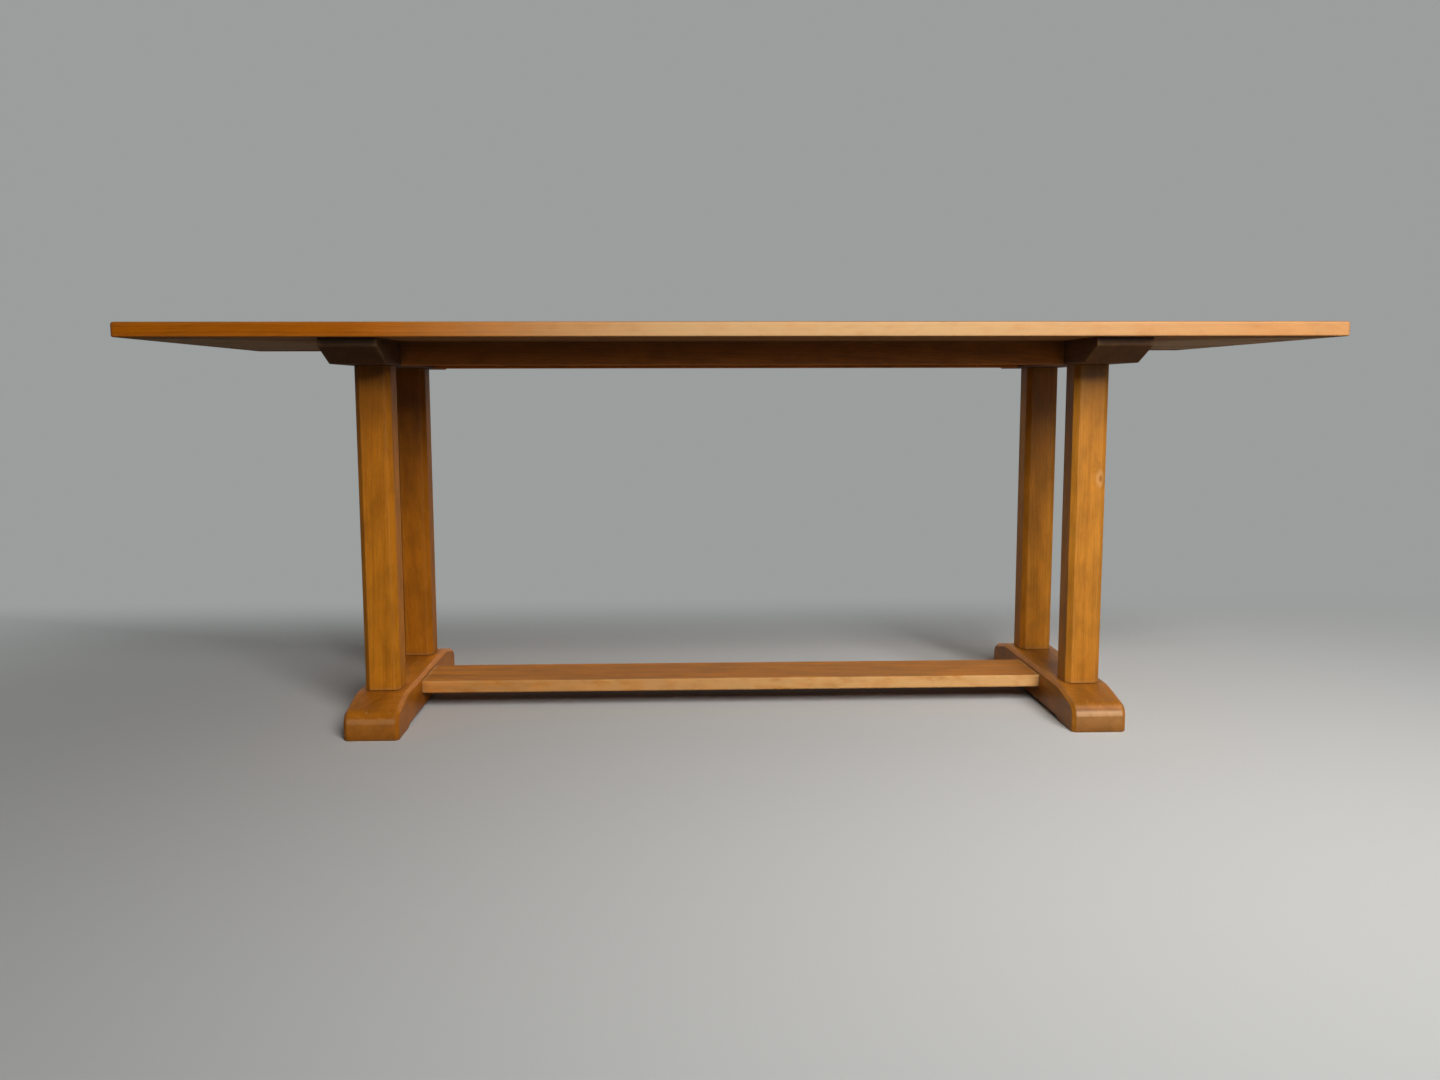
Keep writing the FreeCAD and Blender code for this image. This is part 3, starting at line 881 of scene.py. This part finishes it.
screwShape = {
    "head": 0.010,
    "crown": 0.003,             # height of the raised head
    "crownEase": 0.0022,
    "shank": 0.005,
    "point": 0.005,
    "tip": 0.2,                 # what the point leaves of the shank's width
    "slot": 0.0013,
    "slotDepth": 0.0012,
    "slotOver": (1.2, 1.5),     # size of its cutter in sizes of the head, across and below
    "turn": 0.83,               # each slot stands turned by this much from the one before
    "sides": 32,
}
steelLook = {
    "bright": (0.42, 0.41, 0.39),
    "tarnish": (0.16, 0.125, 0.095),
    "stain": ((420.0, 420.0, 420.0), 4.0, 0.6),
    "stainSteps": (0.38, 0.66),
    "scratch": ((3200.0, 500.0, 500.0), 2.0, 0.5),
    "roughness": 0.28,
    "scratchRough": 0.12,
    "stainRough": 0.25,
    "bump": 0.15,
    "bumpHeight": 0.0002,
}


def steel():
    material, tree = newTree("dullSteel")
    at = add(tree, "TexCoord").outputs["Object"]
    stain = ramp(tree, spots(tree, at, *steelLook["stain"])[0], *steelLook["stainSteps"])
    scratches = spots(tree, at, *steelLook["scratch"])[0]
    colour = mixColour(tree, stain, steelLook["bright"], steelLook["tarnish"])
    rough = maths(tree, "MULTIPLY_ADD", scratches, steelLook["scratchRough"], steelLook["roughness"])
    rough = maths(tree, "MULTIPLY_ADD", stain, steelLook["stainRough"], rough)
    bump = add(tree, "Bump", {"Strength": steelLook["bump"], "Distance": steelLook["bumpHeight"],
                              "Height": scratches})
    shader = add(tree, "BsdfPrincipled", {"Base Color": colour, "Metallic": 1.0, "Roughness": rough,
                                          "Normal": bump.outputs[0]})
    add(tree, "OutputMaterial", {"Surface": shader.outputs[0]})
    return material


def oneScrew(length):    # head down, its seat at the origin
    head, crown = screwShape["head"] / 2, screwShape["crown"]
    bpy.ops.object.select_all(action="DESELECT")
    bpy.ops.mesh.primitive_cylinder_add(vertices=screwShape["sides"], radius=head, depth=crown,
                                        location=(0, 0, -crown / 2))
    piece = bpy.context.active_object
    bpy.ops.object.transform_apply(location=True, rotation=True, scale=True)
    bpy.ops.object.mode_set(mode="EDIT")
    rim = lambda e: all(near(v.co.z, -crown, hair / 10) for v in e.verts)
    roundOver(piece, rim, screwShape["crownEase"], segments=4)
    pick(piece, "FACE", lambda f: f.normal.z > alongLimit)
    bpy.ops.mesh.inset(thickness=head - screwShape["shank"] / 2)
    shaft = length - screwShape["point"]
    bpy.ops.mesh.extrude_region_move(TRANSFORM_OT_translate={"value": (0, 0, shaft)})
    bpy.ops.mesh.extrude_region_move(TRANSFORM_OT_translate={"value": (0, 0, screwShape["point"])})
    tip = screwShape["tip"]
    bpy.ops.transform.resize(value=(tip, tip, 1.0), center_override=(0, 0, length))
    bpy.ops.object.mode_set(mode="OBJECT")
    across, below = screwShape["slotOver"]
    slot = screwShape["slot"] / 2
    roof = screwShape["slotDepth"] - crown
    combine(piece, block((-head * across, -slot, -crown * below), (head * across, slot, roof)))
    return piece


def screwSet(name, node, length, places, material):
    first = oneScrew(length)
    copies = []
    for number, place in enumerate(places):
        bpy.ops.object.select_all(action="DESELECT")
        first.select_set(True)
        bpy.context.view_layer.objects.active = first
        bpy.ops.object.duplicate(linked=False)
        copy = bpy.context.active_object
        copy.location = place
        copy.rotation_euler = (0, 0, number * screwShape["turn"])
        bpy.ops.object.transform_apply(location=True, rotation=True, scale=True)
        copies.append(copy)
    bpy.data.objects.remove(first)
    for copy in copies:
        copy.select_set(True)
    bpy.context.view_layer.objects.active = copies[0]
    bpy.ops.object.join()
    piece = bpy.context.active_object
    piece.name = name
    piece.data.name = name
    finishPiece(piece, node, material)


screwSteel = steel()
bearerScrew = topUnderside - bearerPlaces[0][2] + joints["screwBite"]
buttonScrew = topUnderside - buttonPlaces[0][2] + joints["screwBite"]
screwSet("bearerScrews", "bearer_screws", bearerScrew, bearerPlaces, screwSteel)
screwSet("buttonScrews", "button_screws", buttonScrew, buttonPlaces, screwSteel)
print("screws done")


# Pieces that keep their solids

plainLook = {"centre": (0, 0, 0), "pith": (0.06, 0.09), "seed": 61}
plain = oak("oakPlain", rawOak, "x", **plainLook)
for name, node in nodes.items():
    if "tongue" in name or "button_" in name and "screws" not in name:
        node.data.materials.clear()
        node.data.materials.append(plain)


# Floor, world, light and camera

stageLook = {
    "floor": (0.80, 0.79, 0.765),
    "floorBounce": (0.24, 0.235, 0.225),     # what the floor throws back on the table
    "backdrop": (0.33, 0.345, 0.34),
    "fadeFrom": 0.75,
    "fadeTo": 3.0,
    "rearFade": (0.40, 1.30),                # the floor behind the table melts into the backdrop sooner
    "size": 60.0,
    "worldStrength": 0.16,
}


def looksAt(tree):    # 1 where the eye sees the stage, also in a reflection or through glass
    path = add(tree, "LightPath").outputs
    seen = maths(tree, "MAXIMUM", path["Is Camera Ray"], path["Is Glossy Ray"])
    return maths(tree, "MAXIMUM", seen, path["Is Transmission Ray"])


def floor():
    bpy.ops.object.select_all(action="DESELECT")
    bpy.ops.mesh.primitive_plane_add(size=stageLook["size"], location=(0, 0, 0))
    ground = bpy.context.active_object
    ground.name = "floor"
    material, tree = newTree("paleFloor")
    place = add(tree, "TexCoord").outputs["Object"]
    far = ramp(tree, vectors(tree, "LENGTH", place), stageLook["fadeFrom"], stageLook["fadeTo"])
    behind = ramp(tree, along(tree, place, "Y"), *stageLook["rearFade"])
    far = maths(tree, "MAXIMUM", far, behind)
    direct = looksAt(tree)
    seen = maths(tree, "MULTIPLY", far, direct)
    paint = mixColour(tree, direct, stageLook["floorBounce"], stageLook["floor"])
    matt = add(tree, "BsdfDiffuse", {"Color": paint})
    glow = add(tree, "Emission", {"Color": (*stageLook["backdrop"], 1.0)})
    both = add(tree, "MixShader", {0: seen, 1: matt.outputs[0], 2: glow.outputs[0]})
    add(tree, "OutputMaterial", {"Surface": both.outputs[0]})
    ground.data.materials.append(material)
    return ground


def world():
    sky = bpy.data.worlds.new("studio")
    scene.world = sky
    sky.use_nodes = True
    tree = sky.node_tree
    tree.nodes.clear()
    tone = (*stageLook["backdrop"], 1.0)
    light = add(tree, "Background", {"Color": tone, "Strength": stageLook["worldStrength"]})
    seen = add(tree, "Background", {"Color": tone, "Strength": 1.0})
    both = add(tree, "MixShader", {0: looksAt(tree), 1: light.outputs[0], 2: seen.outputs[0]})
    add(tree, "OutputWorld", {"Surface": both.outputs[0]})


lamps = {
    "window": {"place": (1.3, -3.8, 2.5), "aim": (1.65, 0.0, 0.5),
               "size": (2.0, 2.0), "power": 82, "spread": 106},
    "windowGloss": {"place": (1.6, -4.0, 1.5), "aim": (1.6, 0.0, 1.5),
                    "size": (3.8, 1.7), "power": 140, "spread": 180},
    "ceilingGloss": {"place": (1.8, -1.5, 3.0), "aim": (1.8, -1.5, 0.0),
                     "size": (2.0, 2.4), "power": 120, "spread": 180},
    "backFill": {"place": (0.3, 4.6, 2.6), "aim": (0.0, 0.0, 0.4),
                 "size": (3.0, 1.6), "power": 64, "spread": 90},
}


def lamp(name, place, aim, size, power, spread, spared):
    data = bpy.data.lights.new(name, "AREA")
    data.shape = "RECTANGLE"
    data.size, data.size_y = size
    data.energy = power
    data.spread = math.radians(spread)
    light = bpy.data.objects.new(name, data)
    scene.collection.objects.link(light)
    light.visible_diffuse = not name.endswith("Gloss")
    light.visible_glossy = not name.endswith("Fill")
    light.location = place
    light.rotation_euler = (Vector(aim) - Vector(place)).to_track_quat("-Z", "Y").to_euler()
    if spared:
        unlit = bpy.data.collections.new(name + "Spares")
        for number, thing in enumerate(spared):
            unlit.objects.link(thing)
            unlit.collection_objects[number].light_linking.link_state = "EXCLUDE"
        light.light_linking.receiver_collection = unlit


eye = {
    "place": (-0.1122, -2.5362, 0.6393),
    "yaw": 0.0348,
    "pitch": -0.1194,
    "roll": -0.0024,
    "lens": 30.886,
    "sensor": 36.0,
}


def camera():
    data = bpy.data.cameras.new("eye")
    data.lens = eye["lens"]
    data.sensor_width = eye["sensor"]
    view = bpy.data.objects.new("eye", data)
    scene.collection.objects.link(view)
    turn = Matrix.Rotation(-eye["yaw"], 4, "Z") @ Matrix.Rotation(math.pi / 2 + eye["pitch"], 4, "X")
    view.matrix_world = Matrix.Translation(eye["place"]) @ turn @ Matrix.Rotation(eye["roll"], 4, "Z")
    scene.camera = view


ground = floor()
world()
spared = {"backFill": [ground], "windowGloss": boards}    # the shadow stays dark, and the top has no glare
for name, settings in lamps.items():
    lamp(name, spared=spared.get(name), **settings)
camera()
scene.view_settings.view_transform = "Standard"
print("stage done")
